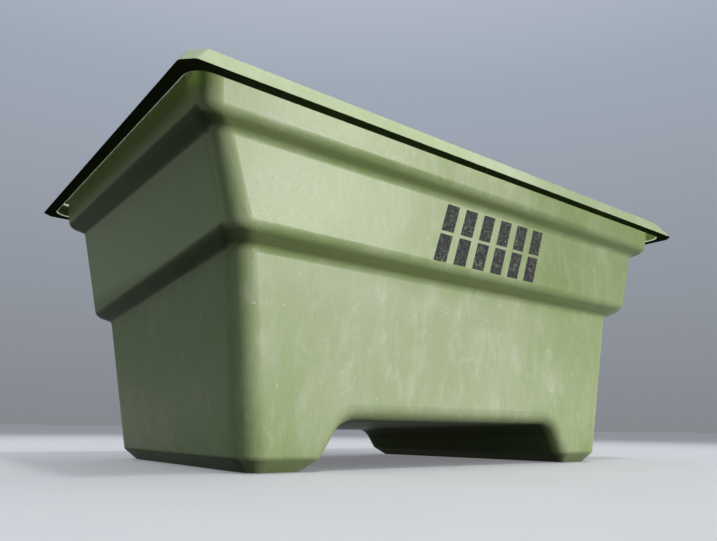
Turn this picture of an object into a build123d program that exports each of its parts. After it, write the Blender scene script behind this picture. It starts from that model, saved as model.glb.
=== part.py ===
from build123d import *
import os
from math import atan2, cos, sin, tan

# Forkliftable mortar tub: moulded two-step body, welded-on rim with a hollow lip, painted contents mark.
# Millimetres, +Z up, origin on the ground under the middle, long side along X, front wall at -Y.

# overall
RIM_LENGTH = 1200.0
RIM_WIDTH = 774.0
HEIGHT = 538.0
WALL = 6.0

# rim moulding: its lip hangs clear of the wall, thick at the bottom and thin at the top
LIP_Z = 503.0
LIP_THICKNESS = 21.0
LIP_LEAN = 21.0
LIP_INNER_RADIUS = 28.0
LIP_EDGE_ROUND = 2.5
LIP_CORNER_CLIP = 17.0
TOP_CORNER_CLIP = 20.0
RIM_TOP_ROUND = 8.0
LIP_CORNER_ROUND = 10.0
RIM_INNER_ROUND = 2.5
RIM_WEB = 6.7
SKIRT_THICKNESS = 6.0
SKIRT_Z = 512.0
FIT_GAP = 0.3
SKIRT_GAP = 0.8

# outer faces of the body are given as (half length, half width) at each level
# neck: the top band, whose outline would reach these at the full height of the tub
NECK = (564.5, 355.5)
NECK_RADIUS = 31.0

# upper step, level all round
STEP1_EDGE = (556.5, 348.5)
STEP1_EDGE_Z = 470.0
STEP1_ROOT = (530.1, 325.2)
STEP1_ROOT_Z = 457.0
STEP1_RADIUS = 31.0
STEP1_EDGE_ROUND = 18.0
STEP1_ROOT_ROUND = 14.0

# lower step, falling from the front wall to the back wall
STEP2_EDGE = (491.0, 319.0)
STEP2_EDGE_Z = 330.0
STEP2_ROOT = (468.6, 285.6)
STEP2_ROOT_Z = 312.0
STEP2_RADIUS = 36.0
STEP2_EDGE_ROUND = 18.0
STEP2_ROOT_ROUND = 14.0
STEP2_FALL = 50.0
FALL_ANGLE = atan2(STEP2_FALL, 2 * STEP2_EDGE[1])

# base and feet
BASE = (422.2, 260.0)
BASE_RADIUS = 40.0
FOOT_CHAMFER = 20.0
CHAMFER_REACH = 30.0
FOOT_EDGE_ROUND = 8.0

# fork channel between the feet: lower and narrower at the back, sides leaning in toward the top
CHANNEL_HEIGHT_FRONT = 74.0
CHANNEL_HEIGHT_BACK = 59.0
CHANNEL_HALF_FRONT = 301.0
CHANNEL_HALF_BACK = 217.0
CHANNEL_SIDE_SLOPE = 0.61
CHANNEL_CORNER = 40.0
MOUTH_ROUND = 28.0
CUTTER_DEPTH_BELOW = 22.0

# weld bead between the wall and the underside of the web, inside the lip
BEAD_LEG = 5.0
BEAD_FOOT = 1.2
BEAD_DROP = 5.0

# painted mark on the middle band of the front wall: slanted bars with a stencil bridge through each
MARK_LENGTH = 300.0
MARK_HEIGHT = 106.0
MARK_BARS = 6
MARK_GAP = 18.0
MARK_SLANT = 34.0
MARK_BRIDGE = 6.0
MARK_FILM = 0.4
MARK_CENTRE_X = 33.0

# inner form: step planes rise by this share of the wall, and the foot chamfer shrinks by this share
STEP_LIFT_SHARE = 0.9
CHAMFER_SHARE = 0.7
PLANE_TOLERANCE = 0.05
MARGIN = 1.0

os.makedirs("parts", exist_ok=True)


def falling_plane(front_z, half_width):
    """Plane at front_z over the front wall, dropping toward the back wall."""
    middle_z = front_z - half_width * tan(FALL_ANGLE)
    return Plane(origin=(0, 0, middle_z), x_dir=(1, 0, 0), z_dir=(0, sin(FALL_ANGLE), cos(FALL_ANGLE)))


def step_planes(inset):
    """Planes through the edges and roots of both steps for a body with its walls moved in by inset."""
    lift = STEP_LIFT_SHARE * inset
    return (
        Plane.XY.offset(STEP1_EDGE_Z + lift),
        Plane.XY.offset(STEP1_ROOT_Z + lift),
        falling_plane(STEP2_EDGE_Z + lift, STEP2_EDGE[1]),
        falling_plane(STEP2_ROOT_Z + lift, STEP2_ROOT[1]),
    )


def edges_on(part, plane):
    """Edges of the part that lie in the plane."""
    return part.edges().filter_by(
        lambda edge: all(abs(plane.to_local_coords(edge @ t).Z) < PLANE_TOLERANCE for t in (0, 0.5, 1))
    )


def chamfer_top_edges(part, bottom_z):
    """Upper edges of the sloping faces that rise from the bottom of the feet."""
    low, high = bottom_z + MARGIN, bottom_z + CHAMFER_REACH
    edges = []
    for face in part.faces():
        box = face.bounding_box()
        if box.min.Z < bottom_z + PLANE_TOLERANCE and low < box.max.Z < high:
            edges += [edge for edge in face.edges() if all((edge @ t).Z > low for t in (0, 0.5, 1))]
    return edges


def along_channel(y, front, back):
    """Value at depth y of something that changes evenly from the front wall to the back wall."""
    return front + (back - front) * (0.5 + y / (2 * BASE[1]))


def channel_section(y, inset):
    """Corner points of the channel at depth y, moved out by inset, from left to right over the top."""
    bottom = -CUTTER_DEPTH_BELOW
    top = along_channel(y, CHANNEL_HEIGHT_FRONT, CHANNEL_HEIGHT_BACK) + inset
    ground_half = along_channel(y, CHANNEL_HALF_FRONT, CHANNEL_HALF_BACK) + inset
    foot = ground_half - CHANNEL_SIDE_SLOPE * bottom
    head = ground_half - CHANNEL_SIDE_SLOPE * top
    return ((-foot, bottom), (-head, top), (head, top), (foot, bottom))


def neck_outline(z):
    """Half length and half width of the neck's outer face at height z."""
    share = (z - STEP1_EDGE_Z) / (HEIGHT - STEP1_EDGE_Z)
    return tuple(low + (high - low) * share for low, high in zip(STEP1_EDGE, NECK))


def neck_block(grow, bottom_z, top_z):
    """Block with the neck's leaning sides moved out by grow."""
    with BuildPart() as block:
        for z in (bottom_z, top_z):
            half_length, half_width = neck_outline(z)
            with BuildSketch(Plane.XY.offset(z)):
                RectangleRounded(2 * (half_length + grow), 2 * (half_width + grow), NECK_RADIUS + grow)
        loft(ruled=True)
    return block.part


def tub_form(inset, top_z):
    """Solid tub body up to top_z with the fork channel through it, every face moved in by inset."""
    edge1, root1, edge2, root2 = step_planes(inset)
    stretch = 1 / cos(FALL_ANGLE)
    levels = (
        (Plane.XY.offset(top_z), neck_outline(top_z), NECK_RADIUS, 1),
        (edge1, STEP1_EDGE, STEP1_RADIUS, 1),
        (root1, STEP1_ROOT, STEP1_RADIUS, 1),
        (edge2, STEP2_EDGE, STEP2_RADIUS, stretch),
        (root2, STEP2_ROOT, STEP2_RADIUS, stretch),
        (Plane.XY.offset(inset), BASE, BASE_RADIUS, 1),
    )
    with BuildPart() as stepped:
        for plane, (half_length, half_width), radius, widen in levels:
            with BuildSketch(plane):
                RectangleRounded(2 * (half_length - inset), 2 * (half_width - inset) * widen, radius - inset)
        loft(ruled=True)
        rounds = (
            (edge1, STEP1_EDGE_ROUND - inset),
            (root1, STEP1_ROOT_ROUND + inset),
            (edge2, STEP2_EDGE_ROUND - inset),
            (root2, STEP2_ROOT_ROUND + inset),
        )
        for plane, radius in rounds:
            fillet(edges_on(stepped, plane), radius)

    with BuildPart() as cutter:
        for y in (-RIM_WIDTH / 2, RIM_WIDTH / 2):
            with BuildSketch(Plane.XZ.offset(-y)):
                with BuildLine():
                    Polyline(*channel_section(y, inset), close=True)
                make_face()
        loft(ruled=True)
        ceiling = cutter.faces().sort_by(Axis.Z)[-1]
        ends = ceiling.edges().sort_by(lambda edge: abs(edge.center().X))[-2:]
        fillet(ends, CHANNEL_CORNER + inset)

    with BuildPart() as form:
        add(stepped.part)
        add(cutter.part, mode=Mode.SUBTRACT)
        arch = form.edges().filter_by(
            lambda edge: abs(edge.center().X) < CHANNEL_HALF_FRONT
            and abs(edge.center().Y) > BASE[1] - MOUTH_ROUND
            and inset + PLANE_TOLERANCE < edge.center().Z < CHANNEL_HEIGHT_FRONT + 2 * inset + MARGIN
        )
        fillet(arch, MOUTH_ROUND - inset)
        chamfer(edges_on(form, Plane.XY.offset(inset)), FOOT_CHAMFER - CHAMFER_SHARE * inset)
        fillet(chamfer_top_edges(form, inset), FOOT_EDGE_ROUND)
    return form.part


# moulded body: outer form with the same form, moved in by the wall thickness, taken out of it
WEB_Z = HEIGHT - RIM_WEB

with BuildPart() as tub_shell:
    add(tub_form(0, WEB_Z - FIT_GAP))
    add(tub_form(WALL, HEIGHT), mode=Mode.SUBTRACT)


# rim moulding: leaning lip hanging clear of the neck, top web and a skirt inside the wall
def clipped_outline(half_length, half_width, clip):
    """Corner points of a rectangle with clipped corners."""
    points = []
    for sx, sy in ((1, 1), (-1, 1), (-1, -1), (1, -1)):
        side = (sx * half_length, sy * (half_width - clip))
        end = (sx * (half_length - clip), sy * half_width)
        points += [side, end] if sx * sy > 0 else [end, side]
    return points


lip_inner = (RIM_LENGTH / 2 - LIP_THICKNESS, RIM_WIDTH / 2 - LIP_THICKNESS)
skirt_inset = WALL + SKIRT_GAP + SKIRT_THICKNESS
opening = tuple(half - skirt_inset for half in neck_outline(SKIRT_Z))

with BuildPart() as groove:
    with BuildSketch(Plane.XY.offset(SKIRT_Z)):
        RectangleRounded(2 * lip_inner[0], 2 * lip_inner[1], LIP_INNER_RADIUS)
    extrude(amount=WEB_Z - SKIRT_Z)
    add(neck_block(-WALL - SKIRT_GAP, SKIRT_Z - MARGIN, WEB_Z + MARGIN), mode=Mode.SUBTRACT)

with BuildPart() as rim_moulding:
    for z, lean, clip in ((LIP_Z, 0, LIP_CORNER_CLIP), (HEIGHT, LIP_LEAN, TOP_CORNER_CLIP)):
        with BuildSketch(Plane.XY.offset(z)):
            with BuildLine():
                Polyline(*clipped_outline(RIM_LENGTH / 2 - lean, RIM_WIDTH / 2 - lean, clip), close=True)
            make_face()
    loft(ruled=True)
    leaning = [edge for edge in rim_moulding.edges() if edge.bounding_box().size.Z > MARGIN]
    fillet(leaning, LIP_CORNER_ROUND)
    fillet(rim_moulding.faces().sort_by(Axis.Z)[-1].edges(), RIM_TOP_ROUND)
    with BuildSketch(Plane.XY.offset(LIP_Z)):
        RectangleRounded(2 * lip_inner[0], 2 * lip_inner[1], LIP_INNER_RADIUS)
    extrude(amount=SKIRT_Z - LIP_Z, mode=Mode.SUBTRACT)
    add(groove.part, mode=Mode.SUBTRACT)
    with BuildSketch(Plane.XY.offset(SKIRT_Z)):
        RectangleRounded(2 * opening[0], 2 * opening[1], NECK_RADIUS - skirt_inset)
    extrude(amount=HEIGHT - SKIRT_Z + MARGIN, mode=Mode.SUBTRACT)
    inner_top = rim_moulding.faces().sort_by(Axis.Z)[-1].inner_wires()[0].edges()
    fillet(inner_top, RIM_INNER_ROUND)
    lip_bottom = rim_moulding.faces().sort_by(Axis.Z)[0].inner_wires()[0].edges()
    fillet(lip_bottom, LIP_EDGE_ROUND)


# weld bead: slim fillet in the corner between the neck and the underside of the web
with BuildPart() as rim_weld_bead:
    for z, reach in ((WEB_Z - BEAD_DROP, BEAD_FOOT), (WEB_Z, BEAD_LEG)):
        half_length, half_width = neck_outline(z)
        with BuildSketch(Plane.XY.offset(z)):
            RectangleRounded(2 * (half_length + reach), 2 * (half_width + reach), NECK_RADIUS + reach)
    loft(ruled=True)
    add(neck_block(0, WEB_Z - 2 * BEAD_DROP, HEIGHT), mode=Mode.SUBTRACT)


# painted mark: row of slanted bars split by stencil bridges, flat on the leaning front wall
lean = atan2(STEP1_ROOT[1] - STEP2_EDGE[1], STEP1_ROOT_Z - STEP2_EDGE_Z)
mark_z = (STEP1_ROOT_Z + STEP2_EDGE_Z) / 2
mark_y = -(STEP1_ROOT[1] + STEP2_EDGE[1]) / 2
mark_facing = (0, -cos(lean), -sin(lean))
mark_plane = Plane(origin=(MARK_CENTRE_X, mark_y, mark_z), x_dir=(1, 0, 0), z_dir=mark_facing)
bar_pitch = (MARK_LENGTH - MARK_SLANT + MARK_GAP) / MARK_BARS
bar_width = bar_pitch - MARK_GAP
with BuildPart() as stencil_mark:
    with BuildSketch(mark_plane):
        for bar in range(MARK_BARS):
            left = -MARK_LENGTH / 2 + bar * bar_pitch
            with BuildLine():
                Polyline(
                    (left, -MARK_HEIGHT / 2),
                    (left + bar_width, -MARK_HEIGHT / 2),
                    (left + bar_width + MARK_SLANT, MARK_HEIGHT / 2),
                    (left + MARK_SLANT, MARK_HEIGHT / 2),
                    close=True,
                )
            make_face()
        Rectangle(MARK_LENGTH, MARK_BRIDGE, mode=Mode.SUBTRACT)
    extrude(amount=MARK_FILM)


tub_shell.part.label = "tub_shell"
export_step(tub_shell.part, "parts/tub_shell.step")

rim_moulding.part.label = "rim_moulding"
export_step(rim_moulding.part, "parts/rim_moulding.step")

rim_weld_bead.part.label = "rim_weld_bead"
export_step(rim_weld_bead.part, "parts/rim_weld_bead.step")

stencil_mark.part.label = "stencil_mark"
export_step(stencil_mark.part, "parts/stencil_mark.step")
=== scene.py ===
import math

import bpy
from mathutils import Matrix, Vector


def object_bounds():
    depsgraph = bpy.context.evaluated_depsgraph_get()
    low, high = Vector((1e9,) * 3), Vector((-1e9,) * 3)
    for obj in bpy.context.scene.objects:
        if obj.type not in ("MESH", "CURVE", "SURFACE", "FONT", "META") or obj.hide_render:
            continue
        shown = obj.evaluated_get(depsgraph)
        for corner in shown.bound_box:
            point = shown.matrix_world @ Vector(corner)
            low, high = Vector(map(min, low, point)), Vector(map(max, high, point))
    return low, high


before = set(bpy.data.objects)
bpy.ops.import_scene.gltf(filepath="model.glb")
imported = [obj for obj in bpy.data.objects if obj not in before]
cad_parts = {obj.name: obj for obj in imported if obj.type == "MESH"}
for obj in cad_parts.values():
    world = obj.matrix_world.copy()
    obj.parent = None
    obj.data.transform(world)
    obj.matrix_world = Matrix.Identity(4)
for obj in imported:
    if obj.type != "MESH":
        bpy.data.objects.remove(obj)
cad_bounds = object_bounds()
scene = bpy.context.scene

# camera: low at the front left corner, looking up along the tub; metres and degrees
CAMERA_PLACE = (-0.8404, -1.0577, 0.0624)
CAMERA_YAW = 37.4
CAMERA_PITCH = 14.1
CAMERA_ROLL = 0.7
CAMERA_LENS = 31.6
CAMERA_NEAR = 0.05
CAMERA_FAR = 2000

# plastic colours, linear
DEEP_GREEN = (0.225, 0.305, 0.096)
# painted shade at the upper right of the front
DARK_GREEN = (0.15, 0.222, 0.06)
HAZE_GREEN = (0.46, 0.51, 0.36)
# painted light: paler green for the upper walls away from the front
SIDE_LIT_GREEN = (0.46, 0.57, 0.27)
RIM_GREEN = (0.36, 0.44, 0.22)
RIM_HAZE = (0.52, 0.56, 0.45)
SCUFF = (0.66, 0.69, 0.58)
# very dark green for painted shade on undersides, also used for the darkening near the ground
DARKEST_GREEN = (0.06, 0.075, 0.035)
# pale plastic of the bead, partly a painted highlight along the junction under the lip
BEAD_PALE = (0.72, 0.74, 0.66)
BEAD_DUST = (0.5, 0.53, 0.42)
PAINT_BLACK = (0.014, 0.014, 0.015)
PAINT_GREY = (0.062, 0.063, 0.066)
# painted highlight: pale colour and glow of the round inside the bottom of the lip
PAINTED_EDGE_LIGHT = (0.8, 0.84, 0.72)
EDGE_GLOW = 0.6

# where the weathering, painted light and painted shade change, metres: each pair is where a change starts and
# where it is complete
BELOW_LOWER_STEP = (0.27, 0.33)
ABOVE_FEET = (0.02, 0.12)
OFF_LEFT_CORNER = (-0.44, -0.2)
TOWARD_RIGHT_END = (0.08, 0.36)
RIGHT_OF_MIDDLE = (-0.05, 0.22)
ABOVE_LOWER_STEP = (0.29, 0.36)
UPPER_SIDES = (0.3, 0.33)
NEAR_GROUND = (0.0, 0.055)

# how strongly each kind of wear, painted light and painted shade, and the darkening near the ground, covers
# the plastic beneath
LOW_FRONT_HAZE = 0.42
UPPER_RIGHT_SHADE = 0.6
UPPER_SIDE_LIGHT = 0.75
MARKS_PALE = 0.55
UNDERCUT_SHADE = 0.72
NEAR_GROUND_DARK = 0.22
PAINT_LOST = 0.45
PAINT_GLOSS = 0.22

# floor, metres and linear colours
FLOOR_GAP = 0.0004
FLOOR_REACH = 800
FLOOR_DULL = (0.665, 0.655, 0.645)
FLOOR_PALE = (0.705, 0.695, 0.68)
FLOOR_FAR = (0.4, 0.395, 0.39)
FLOOR_GLOW_COLOUR = (0.97, 0.97, 1.03)
FLOOR_GLOW_FAR = 0.05
FLOOR_GLOW_NEAR = 0.18
FLOOR_NEAR = 1.0
FLOOR_AWAY = 5.0

# lights: turn and rise in degrees, size in metres, power in watts
TUB_MIDDLE = (0, 0, 0.25)
LIGHT_AWAY = 10
KEY = {"turn": 36, "rise": 14, "size": 1.0, "power": 1060, "colour": (1.0, 0.985, 0.94)}
SHEEN = {"turn": 27, "rise": 17, "size": 3.6, "power": 630, "colour": (1.0, 0.98, 0.98)}
TOP_PLACE = (-0.3, -2.3, 5.6)
TOP_SIZE = 0.7
TOP_POWER = 75

# surround: height of the direction looked in, from straight down to straight up, and linear colour
SURROUND = (
    (-1.0, (0.028, 0.03, 0.03)),
    (-0.02, (0.035, 0.037, 0.037)),
    (0.0, (0.235, 0.245, 0.265)),
    (0.5, (0.35, 0.395, 0.47)),
    (1.0, (0.72, 0.76, 0.84)),
)


class Nodes:
    """Short way to lay out one material's node tree."""

    def __init__(self, name):
        self.material = bpy.data.materials.new(name)
        self.material.use_nodes = True
        self.tree = self.material.node_tree
        self.shader = self.tree.nodes["Principled BSDF"]
        self.place = self.tree.nodes.new("ShaderNodeTexCoord").outputs["Object"]
        self.normal = self.tree.nodes.new("ShaderNodeNewGeometry").outputs["Normal"]

    def put(self, value, socket):
        """Link a socket, or set a number or colour."""
        if isinstance(value, bpy.types.NodeSocket):
            self.tree.links.new(value, socket)
        elif isinstance(value, tuple) and len(value) == 3 and socket.type == "RGBA":
            socket.default_value = (*value, 1)
        else:
            socket.default_value = value

    def math(self, operation, *values, clamp=False):
        node = self.tree.nodes.new("ShaderNodeMath")
        node.operation = operation
        node.use_clamp = clamp
        for value, socket in zip(values, node.inputs):
            self.put(value, socket)
        return node.outputs[0]

    def times(self, first, *others):
        for other in others:
            first = self.math("MULTIPLY", first, other)
        return first

    def split(self, vector):
        node = self.tree.nodes.new("ShaderNodeSeparateXYZ")
        self.put(vector, node.inputs[0])
        return node.outputs

    def ramp(self, value, start, end, low=0.0, high=1.0):
        """Smooth step from low at start to high at end."""
        node = self.tree.nodes.new("ShaderNodeMapRange")
        node.interpolation_type = "SMOOTHSTEP"
        self.put(value, node.inputs["Value"])
        for key, number in (("From Min", start), ("From Max", end), ("To Min", low), ("To Max", high)):
            node.inputs[key].default_value = number
        return node.outputs["Result"]

    def noise(self, scale, detail=3.0, rough=0.55, twist=0.0, turn=(0, 0, 0), shift=(0, 0, 0)):
        """Noise whose grains are 1/scale metres, scale being one number or one for each axis."""
        mapping = self.tree.nodes.new("ShaderNodeMapping")
        self.put(self.place, mapping.inputs["Vector"])
        mapping.inputs["Scale"].default_value = scale if isinstance(scale, tuple) else (scale,) * 3
        mapping.inputs["Rotation"].default_value = turn
        mapping.inputs["Location"].default_value = shift
        node = self.tree.nodes.new("ShaderNodeTexNoise")
        node.inputs["Scale"].default_value = 1.0
        node.inputs["Detail"].default_value = detail
        node.inputs["Roughness"].default_value = rough
        node.inputs["Distortion"].default_value = twist
        self.put(mapping.outputs[0], node.inputs["Vector"])
        return node.outputs["Fac"]

    def near(self, point, inner, outer):
        """1 within inner of the point, falling to 0 at outer."""
        node = self.tree.nodes.new("ShaderNodeVectorMath")
        node.operation = "DISTANCE"
        self.put(self.place, node.inputs[0])
        node.inputs[1].default_value = point
        return self.ramp(node.outputs["Value"], inner, outer, 1.0, 0.0)

    def mix(self, share, first, second):
        node = self.tree.nodes.new("ShaderNodeMix")
        node.data_type = "RGBA"
        self.put(share, node.inputs["Factor"])
        colours = [s for s in node.inputs if s.type == "RGBA"]
        self.put(first, colours[0])
        self.put(second, colours[1])
        return [s for s in node.outputs if s.type == "RGBA"][0]

    def bump(self, height, strength, distance, under=None):
        node = self.tree.nodes.new("ShaderNodeBump")
        node.inputs["Strength"].default_value = strength
        node.inputs["Distance"].default_value = distance
        self.put(height, node.inputs["Height"])
        if under is not None:
            self.put(under, node.inputs["Normal"])
        return node.outputs[0]

    def finish(self, colour, roughness, normal):
        self.put(colour, self.shader.inputs["Base Color"])
        self.put(roughness, self.shader.inputs["Roughness"])
        self.put(normal, self.shader.inputs["Normal"])
        return self.material


def plastic_pattern(n, base, haze, gain):
    """Weathered moulded plastic under a haze of clouds, patches, blots and upright streaks, with painted
    shade at the upper right of the front.

    Gives the colour, the share of haze, and how far the surface faces the front."""
    clouds = n.noise((5, 5, 4), detail=4, rough=0.6, shift=(3.1, 0.4, 1.7))
    patches = n.noise((26, 26, 11), detail=5, rough=0.62, twist=0.3)
    blots = n.noise((38, 38, 30), detail=6, rough=0.7, twist=0.5, shift=(2.0, 7.0, 4.0))
    streaks = n.noise((90, 90, 7), detail=5, rough=0.65)
    fibres = n.noise((340, 340, 30), detail=3, rough=0.6)
    x, _, z = n.split(n.place)
    nx, ny, _ = n.split(n.normal)
    faces_front = n.ramp(ny, -0.85, -0.3, 1.0, 0.0)

    haze_share = n.ramp(clouds, 0.38, 0.7, 0.0, 0.26)
    finer_haze = ((patches, 0.45, 0.75, 0.36), (blots, 0.54, 0.72, 0.3), (streaks, 0.5, 0.85, 0.22))
    for grain, start, end, most in finer_haze:
        haze_share = n.math("ADD", haze_share, n.ramp(grain, start, end, 0.0, most))
    haze_share = n.times(haze_share, n.ramp(faces_front, 0.0, 1.0, 0.55, 1.0))

    # the front is paler low down and in the middle, and painted shade makes it deeper green at the upper
    # right
    paler_low_front = n.times(
        n.ramp(z, *BELOW_LOWER_STEP, 1.0, 0.0),
        n.ramp(z, *ABOVE_FEET, 0.3, 1.0),
        n.ramp(x, *OFF_LEFT_CORNER, 0.45, 1.0),
        n.ramp(x, *TOWARD_RIGHT_END, 1.0, 0.45),
        faces_front,
    )
    haze_share = n.math("ADD", haze_share, n.times(paler_low_front, LOW_FRONT_HAZE))
    shaded_upper_right = n.times(n.ramp(x, *RIGHT_OF_MIDDLE), n.ramp(z, *ABOVE_LOWER_STEP), faces_front)
    haze_share = n.times(haze_share, n.ramp(shaded_upper_right, 0.0, 1.0, 1.0, 0.6))

    # corners and step edges hold less haze than flat walls
    uprightness = n.math("MAXIMUM", n.math("ABSOLUTE", nx), n.math("ABSOLUTE", ny))
    flat = n.ramp(uprightness, 0.72, 0.93, 0.42, 1.0)
    haze_share = n.math("MULTIPLY", haze_share, n.times(flat, gain), clamp=True)

    # painted shade: darker green at the upper right of the front
    base = n.mix(n.times(shaded_upper_right, UPPER_RIGHT_SHADE), base, DARK_GREEN)
    colour = n.mix(haze_share, base, haze)
    colour = n.mix(n.ramp(fibres, 0.3, 0.7, 0.0, 0.13), colour, haze)
    return colour, haze_share, faces_front


def green_plastic(name, base, haze, gain):
    """Plastic pattern with specks, chips and rubs, painted light and shade, and darkening near the ground.
    Gives its nodes, colour, roughness and normal.
    """
    n = Nodes(name)
    colour, haze_share, faces_front = plastic_pattern(n, base, haze, gain)
    z = n.split(n.place)[2]
    _, ny, nz = n.split(n.normal)

    specks = n.times(
        n.ramp(n.noise(150, detail=2, rough=0.5), 0.7, 0.76),
        n.ramp(n.noise(14, detail=2), 0.45, 0.62),
    )
    rubs = n.times(
        n.ramp(n.noise((160, 160, 16), detail=4, rough=0.7, turn=(0.5, 0.55, 0.2)), 0.66, 0.78, 0.0, 0.6),
        n.ramp(n.noise(7, detail=2, shift=(5, 2, 8)), 0.5, 0.64),
    )
    chips = n.ramp(n.noise(62, detail=3, rough=0.6, shift=(9, 1, 3)), 0.68, 0.75, 0.0, 0.7)
    marks = n.math("MAXIMUM", n.math("MAXIMUM", specks, chips), rubs)
    colour = n.mix(n.times(marks, MARKS_PALE), colour, SCUFF)

    # away from the front, painted light makes the upper walls paler and painted shade darkens the undersides
    # of the steps
    lit_upper_side = n.times(n.ramp(z, *UPPER_SIDES), n.ramp(faces_front, 0.0, 0.5, 1.0, 0.0))
    colour = n.mix(n.times(lit_upper_side, UPPER_SIDE_LIGHT), colour, SIDE_LIT_GREEN)
    undercut = n.times(n.ramp(nz, -0.6, -0.2, 1.0, 0.0), n.ramp(ny, -0.45, -0.15))
    colour = n.mix(n.times(undercut, UNDERCUT_SHADE), colour, DARKEST_GREEN)
    shine = n.times(n.ramp(faces_front, 0.0, 1.0, 0.16, 0.5), n.ramp(undercut, 0.0, 1.0, 1.0, 0.2))
    n.put(shine, n.shader.inputs["Specular IOR Level"])

    # darker towards the ground, in blotches
    ground_blotches = n.ramp(n.noise((30, 30, 45), detail=4), 0.3, 0.7, 0.35, 0.9)
    darker_near_ground = n.times(n.ramp(z, *NEAR_GROUND, 1.0, 0.0), ground_blotches, NEAR_GROUND_DARK)
    colour = n.mix(darker_near_ground, colour, DARKEST_GREEN)

    peel = n.noise(420, detail=2, rough=0.5)
    swell = n.noise((7, 7, 5), detail=1)
    normal = n.bump(swell, 0.35, 0.006)
    normal = n.bump(peel, 0.10, 0.0006, under=normal)
    normal = n.bump(marks, 0.12, 0.0003, under=normal)
    roughness = n.math("ADD", n.ramp(haze_share, 0.0, 1.0, 0.38, 0.48), n.ramp(peel, 0.3, 0.7, -0.03, 0.03))
    return n, colour, roughness, normal


def body_plastic():
    n, colour, roughness, normal = green_plastic("moulded_green_plastic", DEEP_GREEN, HAZE_GREEN, 1.0)
    return n.finish(colour, roughness, normal)


def rim_plastic():
    """As the body, with painted shade on the matt undersides and a painted glowing highlight on the round
    inside the bottom of the lip.
    """
    n, colour, roughness, normal = green_plastic("rim_green_plastic", RIM_GREEN, RIM_HAZE, 0.9)
    nz = n.split(n.normal)[2]
    underside = n.ramp(nz, -0.97, -0.9, 1.0, 0.0)
    rim_mottle = n.noise(60, detail=4, rough=0.65)
    # painted shade: the downward faces of the rim are darkened
    colour = n.mix(n.times(underside, n.ramp(rim_mottle, 0.3, 0.7, 1.0, 0.86)), colour, DARKEST_GREEN)
    # painted highlight: the round inside the bottom of the lip is made pale and glows, standing in for light
    # that does not reach it
    inner_round = n.times(n.ramp(nz, -0.96, -0.88), n.ramp(nz, -0.3, -0.12, 1.0, 0.0))
    painted_edge_light = n.times(inner_round, n.ramp(rim_mottle, 0.3, 0.7, 0.95, 0.6))
    colour = n.mix(painted_edge_light, colour, PAINTED_EDGE_LIGHT)
    n.put(PAINTED_EDGE_LIGHT, n.shader.inputs["Emission Color"])
    n.put(n.times(painted_edge_light, EDGE_GLOW), n.shader.inputs["Emission Strength"])
    n.put(n.ramp(underside, 0.0, 1.0, 0.4, 0.0), n.shader.inputs["Specular IOR Level"])
    return n.finish(colour, roughness, normal)


def bead_plastic():
    """Lumpy pale plastic, dusty in its hollows. Its pale colour is partly a painted highlight along the
    junction under the lip.
    """
    n = Nodes("pale_weld_plastic")
    lumps = n.noise(120, detail=3)
    colour = n.mix(n.ramp(lumps, 0.35, 0.7), BEAD_PALE, BEAD_DUST)
    normal = n.bump(lumps, 0.5, 0.0012)
    return n.finish(colour, n.ramp(lumps, 0.3, 0.7, 0.28, 0.5), normal)


def worn_paint():
    """Dusty black paint, thin enough in places for the plastic to show."""
    n = Nodes("worn_black_paint")
    plastic = plastic_pattern(n, DEEP_GREEN, HAZE_GREEN, 1.0)[0]
    grain = n.noise(210, detail=4, rough=0.7)
    blotches = n.noise(48, detail=5, rough=0.7)
    black = n.mix(n.ramp(grain, 0.4, 0.62), PAINT_BLACK, PAINT_GREY)
    lost = n.times(n.ramp(grain, 0.5, 0.64), n.ramp(blotches, 0.42, 0.6))
    lost = n.math("MAXIMUM", lost, n.ramp(blotches, 0.64, 0.7))
    colour = n.mix(n.times(lost, PAINT_LOST), black, plastic)
    n.put(PAINT_GLOSS, n.shader.inputs["Specular IOR Level"])
    return n.finish(colour, n.ramp(grain, 0.3, 0.7, 0.55, 0.8), n.bump(grain, 0.3, 0.0004))


def floor_paint():
    """Pale paint, a little darker far away, glowing faintly so the shadow under the tub stays soft."""
    n = Nodes("floor_paint")
    cloud = n.noise(2.0, detail=3)
    nearby = n.near((0, 0, 0), FLOOR_NEAR, FLOOR_AWAY)
    colour = n.mix(nearby, FLOOR_FAR, n.mix(n.ramp(cloud, 0.3, 0.7), FLOOR_DULL, FLOOR_PALE))
    n.put(FLOOR_GLOW_COLOUR, n.shader.inputs["Emission Color"])
    glow = n.ramp(nearby, 0.0, 1.0, FLOOR_GLOW_FAR, FLOOR_GLOW_NEAR)
    n.put(glow, n.shader.inputs["Emission Strength"])
    return n.finish(colour, n.ramp(cloud, 0.3, 0.7, 0.75, 0.85), n.bump(cloud, 0.02, 0.001))


def make_camera():
    data = bpy.data.cameras.new("camera")
    data.lens = CAMERA_LENS
    data.clip_start = CAMERA_NEAR
    data.clip_end = CAMERA_FAR
    camera = bpy.data.objects.new("camera", data)
    scene.collection.objects.link(camera)
    yaw, pitch, roll = (math.radians(a) for a in (CAMERA_YAW, CAMERA_PITCH, CAMERA_ROLL))
    level = Matrix.Rotation(-yaw, 4, "Z") @ Matrix.Rotation(math.pi / 2 + pitch, 4, "X")
    camera.matrix_world = Matrix.Translation(CAMERA_PLACE) @ level @ Matrix.Rotation(roll, 4, "Z")
    scene.camera = camera


def soft_light(name, place, aim, size, power, colour):
    data = bpy.data.lights.new(name, "AREA")
    data.shape = "DISK"
    data.size = size
    data.energy = power
    data.color = colour
    light = bpy.data.objects.new(name, data)
    scene.collection.objects.link(light)
    light.location = place
    light.rotation_mode = "QUATERNION"
    light.rotation_quaternion = (Vector(aim) - Vector(place)).to_track_quat("-Z", "Y")
    return light


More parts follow.
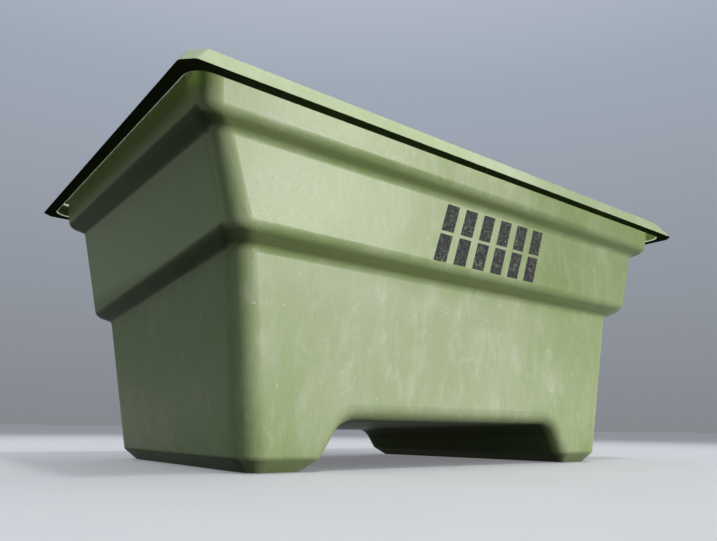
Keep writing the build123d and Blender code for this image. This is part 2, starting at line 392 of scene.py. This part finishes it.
def light_around(name, turn, rise, size, power, colour):
    """Light on the tub, turned from straight in front toward its right end, and raised."""
    turn, rise = math.radians(turn), math.radians(rise)
    flat = LIGHT_AWAY * math.cos(rise)
    place = (flat * math.sin(turn), -flat * math.cos(turn), TUB_MIDDLE[2] + LIGHT_AWAY * math.sin(rise))
    return soft_light(name, place, TUB_MIDDLE, size, power, colour)


def all_but(name, things):
    """Group that stands for everything except the things, as light linking reads it."""
    group = bpy.data.collections.new(name)
    for thing in things:
        group.objects.link(thing)
    for entry in group.collection_objects:
        entry.light_linking.link_state = "EXCLUDE"
    return group


def studio_world(levels):
    """Even surround whose colour depends only on height: levels are (height, colour)."""
    world = bpy.data.worlds.new("studio")
    scene.world = world
    world.use_nodes = True
    nodes, links = world.node_tree.nodes, world.node_tree.links
    coords = nodes.new("ShaderNodeTexCoord")
    split = nodes.new("ShaderNodeSeparateXYZ")
    height = nodes.new("ShaderNodeMapRange")
    height.inputs["From Min"].default_value = -1
    ramp = nodes.new("ShaderNodeValToRGB")
    links.new(coords.outputs["Generated"], split.inputs[0])
    links.new(split.outputs["Z"], height.inputs["Value"])
    links.new(height.outputs["Result"], ramp.inputs[0])
    links.new(ramp.outputs[0], nodes["Background"].inputs["Color"])
    stops = ramp.color_ramp.elements
    while len(stops) < len(levels):
        stops.new(0.5)
    for stop, (z, colour) in zip(stops, levels):
        stop.position = 0.5 + z / 2
        stop.color = (*colour, 1)


def make_floor():
    """Wide floor just under the feet. It throws no light back on the tub."""
    mesh = bpy.data.meshes.new("floor")
    corners = [(x * FLOOR_REACH, y * FLOOR_REACH, 0) for x, y in ((-1, -1), (1, -1), (1, 1), (-1, 1))]
    mesh.from_pydata(corners, [], [(0, 1, 2, 3)])
    mesh.materials.append(floor_paint())
    floor = bpy.data.objects.new("floor", mesh)
    scene.collection.objects.link(floor)
    floor.location.z = cad_bounds[0].z - FLOOR_GAP
    floor.visible_diffuse = False
    return floor


make_camera()
floor = make_floor()
studio_world(SURROUND)

# the key lights the surface and the sheen gives only gloss; neither lights the floor or is blocked by the rim
key = light_around("key", **KEY)
key.visible_glossy = False
sheen = light_around("sheen", **SHEEN)
sheen.visible_diffuse = False
not_floor = all_but("not_the_floor", [floor])
not_rim = all_but("not_the_rim", [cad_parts["rim_moulding"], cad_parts["rim_weld_bead"]])
for light in (key, sheen):
    light.light_linking.receiver_collection = not_floor
    light.light_linking.blocker_collection = not_rim
soft_light("top", TOP_PLACE, (0, 0, 0), TOP_SIZE, TOP_POWER, (1.0, 1.0, 1.0))

finishes = {
    "tub_shell": body_plastic(),
    "rim_moulding": rim_plastic(),
    "rim_weld_bead": bead_plastic(),
    "stencil_mark": worn_paint(),
}
for node, material in finishes.items():
    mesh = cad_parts[node].data
    mesh.materials.clear()
    mesh.materials.append(material)

scene.view_settings.view_transform = "Standard"
